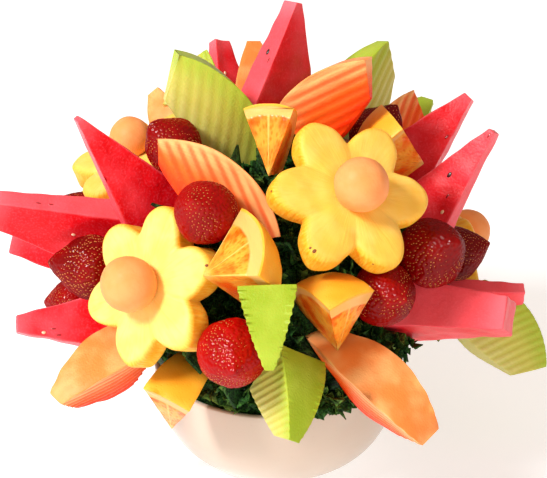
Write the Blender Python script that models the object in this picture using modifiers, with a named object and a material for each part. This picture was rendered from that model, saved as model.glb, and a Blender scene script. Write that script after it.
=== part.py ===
"""Fruit bouquet: cut fruit standing out of a mound of curly kale in a round cream bowl.

Units are metres, +Z is up and -Y is the front. The origin is the centre of the bowl's flat foot.
Every cut of fruit is its own object and points away from HEART, the place in the kale where the
skewers of the real bouquet meet. The kale is one heap: a lumpy core with a pocket for each cut
of fruit that sinks into it, and curly fronds standing in the gaps between them.
"""
import math
import random

import bmesh
import bpy
from mathutils import Matrix, Vector, noise
from mathutils.bvhtree import BVHTree

# ---------------------------------------------------------------- driving dimensions (metres)
GAP = 0.0004                # clear space between neighbours that touch in the real bouquet
HEART = Vector((0.0, 0.0, 0.105))

BOWL_HEIGHT = 0.064
BOWL_RIM_RADIUS = 0.078
BOWL_FOOT_RADIUS = 0.036
BOWL_WALL = 0.004
BOWL_FLOOR = 0.005          # thickness of the bowl's floor
BOWL_STEPS = 40

WATERMELON_BEVEL = 0.0012
RIDGE_HEIGHT = 0.0008       # crinkle-cut ridges on the melon slices, above and below the mean
RIDGE_ROWS = 8              # rows of faces across a slice: two make one ridge
SLICE_STEP = math.radians(15)   # length of a row of faces along a slice

FLOWER_RADIUS = 0.046
FLOWER_VALLEY = 0.031
FLOWER_PETALS = 6
PETAL_FULLNESS = 0.6        # below 1 the petals are wider than the valleys
FLOWER_THICKNESS = 0.019
FLOWER_BEVEL = 0.0025
PETAL_STEPS = 6
BALL_SINK = 0.004           # how much of a melon ball is pressed flat on its flower

STRAWBERRY_LENGTH = 0.043
STRAWBERRY_RADIUS = 0.019
BERRY_RINGS = 7
ORANGE_RADIUS = 0.036

KALE_RADIUS = 0.098
KALE_SKIRT = 0.084          # reach of the heap low down, just above the bowl
KALE_BELT = 0.05            # sine of the elevation from which down the heap is drawn in
KALE_BELT_DEPTH = 0.30
KALE_LUMP = 0.006
KALE_SIDES = 24
KALE_RINGS = 12
KALE_WAIST = -30            # elevation in degrees from which down the heap is inside the bowl
KALE_NECK = 0.0035          # height of the waist over the rim
KALE_SOLVER = "MANIFOLD"
POCKET_ROOM = 0.0012
POCKET_FACET = 5            # degrees between neighbouring faces below which they become one
FROND_TRIES = 100
FROND_LOWEST = -0.40
FRINGE_TOP = -0.10          # sine of the elevation below which fronds hang only front and back
FRINGE_SIDE = 0.55
FROND_WIDTH = 0.030
FROND_LENGTH = 0.026
FROND_ROOT = 0.007
FROND_RUFFLES = 3
FROND_RUFFLE_HEIGHT = 0.0035
FROND_THICKNESS = 0.0016

# ---------------------------------------------------------------- where each cut of fruit sits
# at   = azimuth, elevation and reach of its middle, seen from HEART; azimuth 0 is the front
#        and 90 the right-hand side, degrees and metres
# aim  = azimuth and elevation of its outer end; roll turns it about that line
# Watermelon spikes: length, width and thickness at the root, width at the outer end
WATERMELON = [
    # at                     aim         roll  length  root   thick  end
    ((175, 71, 0.150), (150, 71), 73, 0.068, 0.056, 0.018, 0.005),
    ((-162, 45, 0.150), (-163, 52), 29, 0.060, 0.032, 0.012, 0.013),
    ((-68, 46, 0.140), (-77, 55), -78, 0.084, 0.048, 0.015, 0.003),
    ((-82, 24, 0.146), (-81, 19), -110, 0.084, 0.052, 0.019, 0.018),
    ((-96, 11, 0.134), (-98, 11), -75, 0.072, 0.034, 0.014, 0.017),
    ((-77, -1, 0.125), (-78, 4), -55, 0.074, 0.044, 0.015, 0.010),
    ((105, 45, 0.134), (107, 45), 46, 0.076, 0.050, 0.014, 0.006),
    ((82, 39, 0.134), (94, 53), 46, 0.080, 0.046, 0.013, 0.004),
    ((60, 10, 0.116), (69, 6), 144, 0.076, 0.060, 0.032, 0.024),
    ((88, 2, 0.120), (89, 3), 126, 0.066, 0.036, 0.012, 0.016),
    ((-150, 14, 0.134), (-150, 16), 20, 0.080, 0.044, 0.014, 0.006),
    ((147, 8, 0.138), (147, 10), -60, 0.080, 0.042, 0.014, 0.005),
    ((-128, -8, 0.126), (-130, -8), 110, 0.076, 0.040, 0.014, 0.012),
]

# Melon slices: the stretch of the melon's arc that the slice takes, in degrees from the widest
# place (0) toward the stalk end (positive)
WHOLE = (-47, 48)
LOPPED = (-48, 37)
CLIPPED = (-34, 48)
STUB = (5, 47)
POINTED = (13, 49)
MOST = (-20, 42)
HALF = (-2, 44)
SHORT = (16, 44)
CANTALOUPE = [
    ((64, 74, 0.139), (70, 39), 81, MOST),
    ((-168, 56, 0.139), (-174, 58), 96, HALF),
    ((-146, 35, 0.140), (-143, 37), 37, HALF),
    ((-30, 51, 0.127), (-107, 35), 119, CLIPPED),
    ((136, 34, 0.142), (128, 32), 50, HALF),
    ((-57, -9, 0.125), (-51, -18), 72, MOST),
    ((24, -1, 0.119), (56, -27), 112, LOPPED),
    ((-172, -12, 0.126), (-160, -26), 95, WHOLE),
]
HONEYDEW = [
    ((-77, 71, 0.123), (-85, 59), 101, LOPPED),
    ((-143, 53, 0.148), (-147, 58), 148, SHORT),
    ((138, 52, 0.139), (136, 42), 72, MOST),
    ((-2, 20, 0.159), (3, -58), 92, POINTED),
    ((1, 0, 0.131), (-7, -39), 45, STUB),
    ((94, -14, 0.145), (79, -50), 39, MOST),
    ((-121, 8, 0.131), (-134, 20), 84, HALF),
    ((143, 22, 0.162), (144, 26), 95, HALF),
    ((151, -18, 0.128), (141, -30), 80, MOST),
]
# Strawberries: the size is a factor on the driving length and radius
STRAWBERRY = [
    ((-61, 59, 0.137), (-60, 50), 0.91),
    ((-22, 44, 0.149), (-20, 40), 0.96),
    ((-68, 20, 0.130), (-88, 8), 1.03),
    ((-107, 18, 0.137), (-101, 27), 0.82),
    ((-100, -6, 0.134), (-106, -8), 0.92),
    ((-10, 14, 0.145), (4, 5), 1.03),
    ((32, 24, 0.125), (30, 14), 1.00),
    ((51, 30, 0.132), (40, 34), 1.08),
    ((83, 19, 0.118), (88, 20), 0.90),
    ((101, 60, 0.124), (96, 55), 0.92),
    ((-135, 25, 0.147), (-132, 24), 0.92),
]
# Orange wedges: angle of the wedge in degrees, and a factor on the driving radius
ORANGE = [
    ((-3, 67, 0.141), (180, 71), 169, 42, 1.12),
    ((76, 58, 0.125), (-60, 55), 167, 42, 1.25),
    ((-7, 34, 0.146), (84, 40), -153, 74, 1.18),
    ((15, 24, 0.125), (27, 69), 11, 42, 1.22),
    ((-31, -7, 0.109), (-1, 52), -27, 36, 1.34),
    ((156, 40, 0.126), (120, 66), 20, 50, 1.00),
]
# Pineapple flowers: the last value is the radius of the melon ball on the flower
PINEAPPLE = [
    ((24, 48, 0.141), (25, 42), -14, 0.0150),
    ((-36, 25, 0.129), (-42, 25), 33, 0.0155),
    ((-111, 41, 0.120), (-63, 69), 109, 0.0130),
    ((124, 3, 0.131), (110, 10), -26, 0.0145),
    ((174, 18, 0.128), (174, 22), 12, 0.0150),
]


# ---------------------------------------------------------------- placing and small helpers
def outward(azimuth, elevation):
    """Unit vector for an azimuth from the front and an elevation."""
    a, e = math.radians(azimuth), math.radians(elevation)
    return Vector((math.sin(a) * math.cos(e), -math.cos(a) * math.cos(e), math.sin(e)))


def seat(at, aim, roll):
    """World matrix of a piece whose local +Z points along aim."""
    azimuth, elevation, reach = at
    turn = Matrix.Rotation(math.radians(aim[0]), 4, "Z")
    turn @= Matrix.Rotation(math.radians(90 - aim[1]), 4, "X")
    turn @= Matrix.Rotation(math.radians(roll), 4, "Z")
    return Matrix.Translation(HEART + outward(azimuth, elevation) * reach) @ turn


def mix(a, b, t):
    return a + (b - a) * t


def srgb(red, green, blue):
    """Linear colour of a screen colour given as 0-255."""
    def channel(value):
        value /= 255
        return value / 12.92 if value <= 0.04045 else ((value + 0.055) / 1.055) ** 2.4
    return (channel(red), channel(green), channel(blue), 1.0)


def make_material(name, colour, roughness):
    material = bpy.data.materials.new(name)
    material.use_nodes = True
    shader = material.node_tree.nodes["Principled BSDF"]
    shader.inputs["Base Color"].default_value = colour
    shader.inputs["Roughness"].default_value = roughness
    shader.inputs["Metallic"].default_value = 0.0
    material.diffuse_color = colour
    return material


def finish(bm, name, collection, material, sharp_angle=35):
    """Turn a bmesh into a named, shaded object."""
    bmesh.ops.recalc_face_normals(bm, faces=bm.faces)
    mesh = bpy.data.meshes.new(name)
    bm.to_mesh(mesh)
    bm.free()
    mesh.shade_smooth()
    mesh.set_sharp_from_angle(angle=math.radians(sharp_angle))
    obj = bpy.data.objects.new(name, mesh)
    collection.objects.link(obj)
    obj.data.materials.append(material)
    return obj


def block(rows_x, rows_y, rows_z):
    """A cube from -1 to 1 whose faces are cut into even rows along each axis."""
    bm = bmesh.new()
    bmesh.ops.create_cube(bm, size=2)
    for axis, rows in enumerate((rows_x, rows_y, rows_z)):
        normal = Vector((0, 0, 0))
        normal[axis] = 1
        for row in range(1, rows):
            bmesh.ops.bisect_plane(bm, geom=bm.verts[:] + bm.edges[:] + bm.faces[:],
                                   plane_co=normal * (2 * row / rows - 1), plane_no=normal)
    return bm


def turned(name, profile, steps, collection, material):
    """A solid of revolution: the profile runs down its outer side at +X."""
    mesh = bpy.data.meshes.new(name)
    mesh.from_pydata([(r, 0, z) for r, z in profile],
                     [(i, i + 1) for i in range(len(profile) - 1)], [])
    obj = bpy.data.objects.new(name, mesh)
    collection.objects.link(obj)
    obj.data.materials.append(material)
    screw = obj.modifiers.new("turn", "SCREW")
    screw.steps = screw.render_steps = steps
    screw.use_merge_vertices = True
    screw.merge_threshold = 0.00001
    screw.use_smooth_shade = True
    return obj


# ---------------------------------------------------------------- bowl
def bowl_radius(z):
    """Outer radius of the bowl: a quarter ellipse from the foot to the rim."""
    rise = z / BOWL_HEIGHT
    return mix(BOWL_FOOT_RADIUS, BOWL_RIM_RADIUS, math.sqrt(max(0.0, 1 - (1 - rise) ** 2.3)))


def make_bowl(collection, material):
    heights = [1.0, 0.80, 0.60, 0.42, 0.26, 0.14, 0.05, 0.0]
    outside = [(bowl_radius(h * BOWL_HEIGHT), h * BOWL_HEIGHT) for h in heights]
    inside = [(bowl_radius(h * BOWL_HEIGHT) - BOWL_WALL, h * BOWL_HEIGHT) for h in heights[:-3]]
    edge = (BOWL_RIM_RADIUS - BOWL_WALL / 2, BOWL_HEIGHT + BOWL_WALL * 0.35)
    profile = [(0.0, BOWL_FLOOR), (BOWL_FOOT_RADIUS + 0.004, BOWL_FLOOR)] + inside[::-1] + [edge]
    profile += outside + [(0.0, 0.0)]
    return turned("bowl", profile, BOWL_STEPS, collection, material)


# ---------------------------------------------------------------- fruit
def watermelon_spike(length, root, thick, end):
    """A straight tapered triangle of watermelon."""
    bm = block(1, 1, 3)
    for v in bm.verts:
        t = (v.co.z + 1) / 2
        half_width = mix(root, end, t) / 2
        half_thick = mix(thick, thick * 0.62, t) / 2
        v.co = Vector((v.co.x * half_width, v.co.y * half_thick, (t - 0.5) * length))
    rim = [e for e in bm.edges if e.calc_face_angle(0) > math.radians(30)]
    bmesh.ops.bevel(bm, geom=rim, offset=WATERMELON_BEVEL, segments=1, profile=0.5,
                    affect="EDGES", material=-1, clamp_overlap=True)
    return bm


MELON_POLE = math.radians(50)   # where a slice comes to its tip
MELON_TIP = 0.12                # share of its full width that is left there
MELONS = {
    # outer radius of the melon, thickness of its flesh, width of the rind side, width inside
    "cantaloupe": (0.067, 0.038, 0.032, 0.011),
    "honeydew": (0.072, 0.040, 0.034, 0.012),
}


def melon_slice(kind, stretch):
    """A crescent of melon: rind side on local +X, crinkle-cut faces on both sides of Y."""
    radius, flesh, rind_width, inner_width = MELONS[kind]
    start, end = (math.radians(angle) for angle in stretch)
    middle = (start + end) / 2

    def spread(angle):
        return mix(MELON_TIP, 1.0, math.cos(math.pi / 2 * angle / MELON_POLE))

    def depth(angle):
        return flesh * mix(0.15, 1.0, math.sqrt(1 - (angle / MELON_POLE) ** 2))

    def centre(angle):
        return radius - depth(angle) / 2

    ends = [Vector((math.cos(a - middle), 0, math.sin(a - middle))) * centre(a)
            for a in (start, end)]
    origin = (ends[0] + ends[1]) / 2
    bm = block(RIDGE_ROWS, 1, round((end - start) / SLICE_STEP))
    for v in bm.verts:
        angle = mix(start, end, (v.co.z + 1) / 2)
        across = (v.co.x + 1) / 2
        row = round(across * RIDGE_ROWS)
        ridge = RIDGE_HEIGHT * (1 if row % 2 else -1) * mix(0.5, 1.0, spread(angle))
        r = radius - depth(angle) * (1 - across)
        width = mix(inner_width, rind_width, across) * spread(angle)
        turn = angle - middle
        v.co = Vector((r * math.cos(turn), v.co.y * (width / 2 + ridge), r * math.sin(turn)))
        v.co -= origin
    return bm


def orange_wedge(angle):
    """Half of an orange segment cut: rind toward +Z, cross-cut face toward -Y."""
    bm = bmesh.new()
    poles = Matrix.Rotation(math.radians(90), 4, "X")
    bmesh.ops.create_uvsphere(bm, u_segments=24, v_segments=12, radius=ORANGE_RADIUS,
                              matrix=poles)
    half = math.radians(angle / 2)
    cuts = [Vector((0, -1, 0)), Vector((math.cos(half), 0, -math.sin(half))),
            Vector((-math.cos(half), 0, -math.sin(half)))]
    for normal in cuts:
        cut = bmesh.ops.bisect_plane(bm, geom=bm.verts[:] + bm.edges[:] + bm.faces[:],
                                     plane_co=Vector((0, 0, 0)), plane_no=normal,
                                     clear_outer=True, dist=0.00001)
        rim = [g for g in cut["geom_cut"] if isinstance(g, bmesh.types.BMEdge)]
        bmesh.ops.edgeloop_fill(bm, edges=rim)
    bmesh.ops.remove_doubles(bm, verts=bm.verts, dist=0.00002)
    bmesh.ops.translate(bm, verts=bm.verts, vec=(0, -0.3 * ORANGE_RADIUS, -0.55 * ORANGE_RADIUS))
    return bm


def pineapple_flower():
    """A slice with six lobes: its outline swings between the petal tips and the valleys."""
    bm = bmesh.new()
    points = FLOWER_PETALS * PETAL_STEPS
    bmesh.ops.create_circle(bm, cap_ends=True, cap_tris=True, segments=points, radius=1.0)
    for v in bm.verts:
        if v.co.length > 0.5:
            turn = math.atan2(v.co.y, v.co.x)
            lobe = (0.5 + 0.5 * math.cos(FLOWER_PETALS * turn)) ** PETAL_FULLNESS
            v.co *= mix(FLOWER_VALLEY, FLOWER_RADIUS, lobe)
    top = bmesh.ops.extrude_face_region(bm, geom=bm.faces[:])
    raised = [g for g in top["geom"] if isinstance(g, bmesh.types.BMVert)]
    bmesh.ops.translate(bm, verts=raised, vec=(0, 0, FLOWER_THICKNESS))
    rim = [e for e in bm.edges if e.calc_face_angle(0) > math.radians(80)
           and abs(e.verts[0].co.z - e.verts[1].co.z) < 0.0001]
    bmesh.ops.bevel(bm, geom=rim, offset=FLOWER_BEVEL, segments=1, profile=0.5,
                    affect="EDGES", material=-1)
    bmesh.ops.translate(bm, verts=bm.verts, vec=(0, 0, -FLOWER_THICKNESS / 2))
    return bm


def melon_ball(radius):
    """A scooped ball of cantaloupe, pressed flat where it meets its flower."""
    bm = bmesh.new()
    bmesh.ops.create_uvsphere(bm, u_segments=12, v_segments=8, radius=radius)
    cut = bmesh.ops.bisect_plane(bm, geom=bm.verts[:] + bm.edges[:] + bm.faces[:],
                                 plane_co=(0, 0, BALL_SINK - radius), plane_no=(0, 0, -1),
                                 clear_outer=True)
    rim = [g for g in cut["geom_cut"] if isinstance(g, bmesh.types.BMEdge)]
    bmesh.ops.edgeloop_fill(bm, edges=rim)
    return bm


def strawberry_profile():
    """Half outline of a strawberry from its tip (top) down to its shoulder."""
    points = []
    for i in range(BERRY_RINGS + 1):
        t = (1 - math.cos(math.pi * i / BERRY_RINGS)) / 2
        girth = math.sin(math.pi * t ** 1.3) ** 0.64 if 0 < i < BERRY_RINGS else 0.0
        points.append((STRAWBERRY_RADIUS * girth, STRAWBERRY_LENGTH * (0.5 - t)))
    return points


# ---------------------------------------------------------------- kale
def kale_surface(direction):
    """Reach of the bare heap from HEART: a dome with soft lumps, drawn in over the bowl."""
    lump = noise.noise(direction * 3.2) + 0.6 * noise.noise(direction * 7.0)
    low = min(max((KALE_BELT - direction.z) / KALE_BELT_DEPTH, 0.0), 1.0)
    return mix(KALE_RADIUS, KALE_SKIRT, low) + KALE_LUMP * lump


def kale_core():
    """The heap without its fronds: it fills the bowl and swells over the rim into a dome."""
    bm = bmesh.new()
    bmesh.ops.create_uvsphere(bm, u_segments=KALE_SIDES, v_segments=KALE_RINGS, radius=1.0)
    for v in bm.verts:
        direction = v.co.normalized()
        below = (KALE_WAIST - math.degrees(math.asin(direction.z))) / (90 + KALE_WAIST)
        if below < -0.01:
            v.co = HEART + direction * kale_surface(direction)
            continue
        # from the waist down the heap takes the bowl's inside shape
        height = mix(BOWL_HEIGHT + KALE_NECK, BOWL_FLOOR + 2 * GAP, below)
        around = Vector((direction.x, direction.y))
        if below < 0.99:
            inside = bowl_radius(min(height, BOWL_HEIGHT)) - BOWL_WALL - 4 * GAP
            around = around.normalized() * inside
        v.co = Vector((around.x, around.y, height))
    return bm


def pocket(obj, depsgraph):
    """Room for a cut of fruit: its convex hull, a little larger and with few faces."""
    mesh = bpy.data.meshes.new_from_object(obj.evaluated_get(depsgraph))
    bm = bmesh.new()
    bm.from_mesh(mesh)
    bpy.data.meshes.remove(mesh)
    bmesh.ops.transform(bm, matrix=obj.matrix_world, verts=bm.verts)
    bmesh.ops.delete(bm, geom=bm.edges[:] + bm.faces[:], context="EDGES_FACES")
    bmesh.ops.convex_hull(bm, input=bm.verts)
    bmesh.ops.delete(bm, geom=[v for v in bm.verts if not v.link_faces], context="VERTS")
    bmesh.ops.dissolve_limit(bm, angle_limit=math.radians(POCKET_FACET), verts=bm.verts,
                             edges=bm.edges)
    bmesh.ops.triangulate(bm, faces=bm.faces)
    bmesh.ops.recalc_face_normals(bm, faces=bm.faces)
    if bm.calc_volume(signed=True) < 0:
        bmesh.ops.reverse_faces(bm, faces=bm.faces)
    bm.normal_update()
    moves = [v.normal * POCKET_ROOM * min(v.calc_shell_factor(), 2.0) for v in bm.verts]
    for v, move in zip(bm.verts, moves):
        v.co += move
    bmesh.ops.recalc_face_normals(bm, faces=bm.faces)
    return bm


def frond(direction, spin, size, droop):
    """One curly frond: a fan of thin leaf whose outer edge is ruffled up and down."""
    bm = bmesh.new()
    bmesh.ops.create_grid(bm, x_segments=FROND_RUFFLES, y_segments=1, size=1.0)
    for v in bm.verts:
        across, along = v.co.x, (v.co.y + 1) / 2
        ruffle = round((across + 1) / 2 * FROND_RUFFLES)
        spread = mix(0.30, 1.0, along) * size * FROND_WIDTH / 2
        wave = FROND_RUFFLE_HEIGHT * along * (1 if ruffle % 2 else -1) * size
        bend = droop * along * along * size * FROND_LENGTH
        v.co = Vector((across * spread, wave + bend, along * size * FROND_LENGTH))
    bmesh.ops.triangulate(bm, faces=bm.faces, quad_method="FIXED")
    bmesh.ops.solidify(bm, geom=bm.faces[:], thickness=FROND_THICKNESS)
    bmesh.ops.recalc_face_normals(bm, faces=bm.faces)
    frame = direction.to_track_quat("Z", "Y").to_matrix().to_4x4()
    frame = frame @ Matrix.Rotation(spin, 4, "Z")
    root = HEART + direction * (kale_surface(direction) - FROND_ROOT)
    bmesh.ops.transform(bm, matrix=Matrix.Translation(root) @ frame, verts=bm.verts)
    return bm


def grow_fronds(blocked):
    """Fronds on an even spiral over the heap, turned or shrunk to miss what is in the way."""
    chance = random.Random(7)
    golden = math.pi * (3 - math.sqrt(5))
    fronds = []
    for i in range(FROND_TRIES):
        height = mix(0.97, FROND_LOWEST, (i + 0.5) / FROND_TRIES)
        level = math.sqrt(1 - height * height)
        turn = i * golden
        direction = Vector((level * math.sin(turn), -level * math.cos(turn), height))
        if height < FRINGE_TOP and abs(direction.x) > FRINGE_SIDE * level:
            continue        # at the sides the heap ends inside the rim
        droop = 0.9 if height < 0 else 0.25
        first_spin = chance.uniform(0, math.pi)
        for size, spin in ((size, first_spin + step * math.pi / 4)
                           for size in (1.0, 0.8) for step in range(4)):
            bm = frond(direction, spin if height > 0 else 0.0, size, droop)
            tree = BVHTree.FromBMesh(bm)
            inside = any(test(v.co) for v in bm.verts for test in blocked["inside"])
            if not inside and not any(tree.overlap(other) for other in blocked["trees"]):
                fronds.append(bm)
                break
            bm.free()
    return fronds


def inside_test(bm):
    """True for a point within a convex hull."""
    planes = [(f.normal.copy(), f.verts[0].co.copy()) for f in bm.faces]
    return lambda point: all((point - base).dot(normal) < 0.00001 for normal, base in planes)


def make_kale(bouquet, cutters, fruit, bowl, material):
    depsgraph = bpy.context.evaluated_depsgraph_get()
    core = finish(kale_core(), "kale", bouquet, material, 60)
    blocked = {"trees": [], "inside": []}
    for obj in fruit:
        bm = pocket(obj, depsgraph)
        bm.normal_update()
        blocked["trees"].append(BVHTree.FromBMesh(bm))
        blocked["inside"].append(inside_test(bm))
        cutter = finish(bm, f"pocket_{obj.name}", cutters, material)
        cutter.hide_render = True
        cutter.display_type = "WIRE"
    bowl_mesh = bmesh.new()
    bowl_mesh.from_object(bowl, depsgraph)
    blocked["trees"].append(BVHTree.FromBMesh(bowl_mesh))
    bowl_mesh.free()
    leaves = new_collection("fronds")
    for i, bm in enumerate(grow_fronds(blocked)):
        finish(bm, f"frond_{i:03}", leaves, material)
    for operation, collection in (("DIFFERENCE", cutters), ("UNION", leaves)):
        boolean = core.modifiers.new(operation.lower(), "BOOLEAN")
        boolean.operation = operation
        boolean.operand_type = "COLLECTION"
        boolean.collection = collection
        boolean.solver = KALE_SOLVER
    bpy.context.view_layer.update()
    joined = bpy.data.meshes.new_from_object(
        core.evaluated_get(bpy.context.evaluated_depsgraph_get()))
    core.modifiers.clear()
    core.data = joined
    for collection in (cutters, leaves):
        for obj in list(collection.objects):
            bpy.data.objects.remove(obj, do_unlink=True)
        bpy.data.collections.remove(collection)
    keep_largest(core)
    return core


def keep_largest(obj):
    """Drop loose scraps: only the largest closed body stays."""
    bm = bmesh.new()
    bm.from_mesh(obj.data)
    bmesh.ops.remove_doubles(bm, verts=bm.verts, dist=0.000001)
    waiting = set(bm.verts)
    bodies = []
    while waiting:
        body = set()
        front = [waiting.pop()]
        while front:
            v = front.pop()
            body.add(v)
            for edge in v.link_edges:
                other = edge.other_vert(v)
                if other in waiting:
                    waiting.discard(other)
                    front.append(other)
        bodies.append(body)
    bodies.sort(key=len)
    scraps = [v for body in bodies[:-1] for v in body]
    bmesh.ops.delete(bm, geom=scraps, context="VERTS")
    bm.to_mesh(obj.data)
    bm.free()


# ---------------------------------------------------------------- build
def clear_scene():
    for obj in list(bpy.data.objects):
        bpy.data.objects.remove(obj, do_unlink=True)


def new_collection(name):
    collection = bpy.data.collections.new(name)
    bpy.context.scene.collection.children.link(collection)
    return collection


def build():
    clear_scene()
    bouquet = new_collection("fruit_bouquet")
    cutters = new_collection("pockets")
    finishes = {
        "bowl": make_material("bowl_cream", srgb(238, 220, 200), 0.35),
        "kale": make_material("kale_green", srgb(28, 56, 24), 0.6),
        "watermelon": make_material("watermelon_red", srgb(222, 40, 58), 0.4),
        "cantaloupe": make_material("cantaloupe_orange", srgb(250, 160, 90), 0.4),
        "honeydew": make_material("honeydew_green", srgb(212, 224, 120), 0.4),
        "strawberry": make_material("strawberry_red", srgb(170, 16, 22), 0.3),
        "orange": make_material("citrus_flesh", srgb(250, 160, 30), 0.35),
        "pineapple": make_material("pineapple_yellow", srgb(252, 222, 110), 0.45),
    }
    bowl = make_bowl(bouquet, finishes["bowl"])
    fruit = []

    def add(bm_or_object, name, finish_name, matrix):
        obj = bm_or_object
        if isinstance(obj, bmesh.types.BMesh):
            obj = finish(obj, name, bouquet, finishes[finish_name])
        obj.matrix_world = matrix
        fruit.append(obj)

    for i, (at, aim, roll, length, root, thick, end) in enumerate(WATERMELON, 1):
        add(watermelon_spike(length, root, thick, end), f"watermelon_{i:02}", "watermelon",
            seat(at, aim, roll))
    for kind, slices in (("cantaloupe", CANTALOUPE), ("honeydew", HONEYDEW)):
        for i, (at, aim, roll, stretch) in enumerate(slices, 1):
            add(melon_slice(kind, stretch), f"{kind}_{i:02}", kind, seat(at, aim, roll))
    for i, (at, aim, size) in enumerate(STRAWBERRY, 1):
        berry = turned(f"strawberry_{i:02}", strawberry_profile(), 12, bouquet,
                       finishes["strawberry"])
        add(berry, berry.name, "strawberry", seat(at, aim, 0) @ Matrix.Scale(size, 4))
    for i, (at, aim, roll, angle, size) in enumerate(ORANGE, 1):
        add(orange_wedge(angle), f"orange_{i:02}", "orange",
            seat(at, aim, roll) @ Matrix.Scale(size, 4))
    for i, (at, aim, roll, ball) in enumerate(PINEAPPLE, 1):
        place = seat(at, aim, roll)
        add(pineapple_flower(), f"pineapple_{i:02}", "pineapple", place)
        lift = Matrix.Translation((0, 0, FLOWER_THICKNESS / 2 + GAP + ball - BALL_SINK))
        add(melon_ball(ball), f"melon_ball_{i:02}", "cantaloupe", place @ lift)
    bpy.context.view_layer.update()
    make_kale(bouquet, cutters, fruit, bowl, finishes["kale"])


build()
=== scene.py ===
"""Fruit bouquet in a cream bowl: the finish of every piece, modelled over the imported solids.

Units are metres, +Z is up and -Y is the front. The sections follow the bouquet as it is made up:
the bowl, the kale it is packed with, each kind of cut fruit, and last the floor, light and camera.
"""
import math
import random

import bmesh
import bpy
from mathutils import Matrix, Vector, noise
from mathutils.bvhtree import BVHTree
from mathutils.kdtree import KDTree


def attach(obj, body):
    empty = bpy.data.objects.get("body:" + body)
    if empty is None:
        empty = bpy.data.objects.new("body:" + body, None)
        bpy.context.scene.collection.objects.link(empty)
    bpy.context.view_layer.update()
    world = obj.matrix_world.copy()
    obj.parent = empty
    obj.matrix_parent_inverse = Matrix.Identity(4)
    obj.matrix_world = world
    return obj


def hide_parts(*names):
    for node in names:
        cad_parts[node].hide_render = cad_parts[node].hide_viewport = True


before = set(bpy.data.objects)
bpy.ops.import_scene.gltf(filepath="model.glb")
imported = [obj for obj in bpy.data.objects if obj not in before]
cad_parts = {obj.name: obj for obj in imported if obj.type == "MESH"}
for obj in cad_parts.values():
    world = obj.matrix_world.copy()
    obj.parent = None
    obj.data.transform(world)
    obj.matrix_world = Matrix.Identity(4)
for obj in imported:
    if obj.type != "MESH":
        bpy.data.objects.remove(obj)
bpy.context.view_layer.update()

# ================================================================ bowl
# The real bowl is a round planter of glazed ceramic, plain cream, turned and fired with a small
# flat foot. It stands loose, and the kale is packed into it.
BOWL_HEIGHT = 0.064
BOWL_RIM_RADIUS = 0.078
BOWL_FOOT_RADIUS = 0.036
BOWL_WALL = 0.004
BOWL_FLOOR = 0.005
BOWL_FULLNESS = 2.3                   # power of the wall's curve; 2 would be a quarter ellipse
BOWL_INSIDE = 1.6                     # the wall inside begins at this many floors' height
BOWL_ROWS = 30
BOWL_STEPS = 112
LIP_ROWS = 8
LIP_HEIGHT = 0.35                     # of the wall's thickness
MERGE = 0.000001                      # points nearer than this are one


def mix(a, b, t):
    return a + (b - a) * t


def srgb(red, green, blue):
    """Linear colour of a screen colour given as 0-255."""
    def channel(value):
        value /= 255
        return value / 12.92 if value <= 0.04045 else ((value + 0.055) / 1.055) ** 2.4
    return (channel(red), channel(green), channel(blue), 1.0)


class Wire:
    """A value inside a material: Python's operators on it add Math nodes."""

    def __init__(self, look, socket):
        self.look = look
        self.socket = socket

    def __add__(self, other):
        return self.look.maths("ADD", self, other)

    def __sub__(self, other):
        return self.look.maths("SUBTRACT", self, other)

    def __rsub__(self, other):
        return self.look.maths("SUBTRACT", other, self)

    def __mul__(self, other):
        return self.look.maths("MULTIPLY", self, other)

    def __pow__(self, other):
        return self.look.maths("POWER", self, other)

    def __abs__(self):
        return self.look.maths("ABSOLUTE", self)

    __radd__ = __add__
    __rmul__ = __mul__


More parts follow.
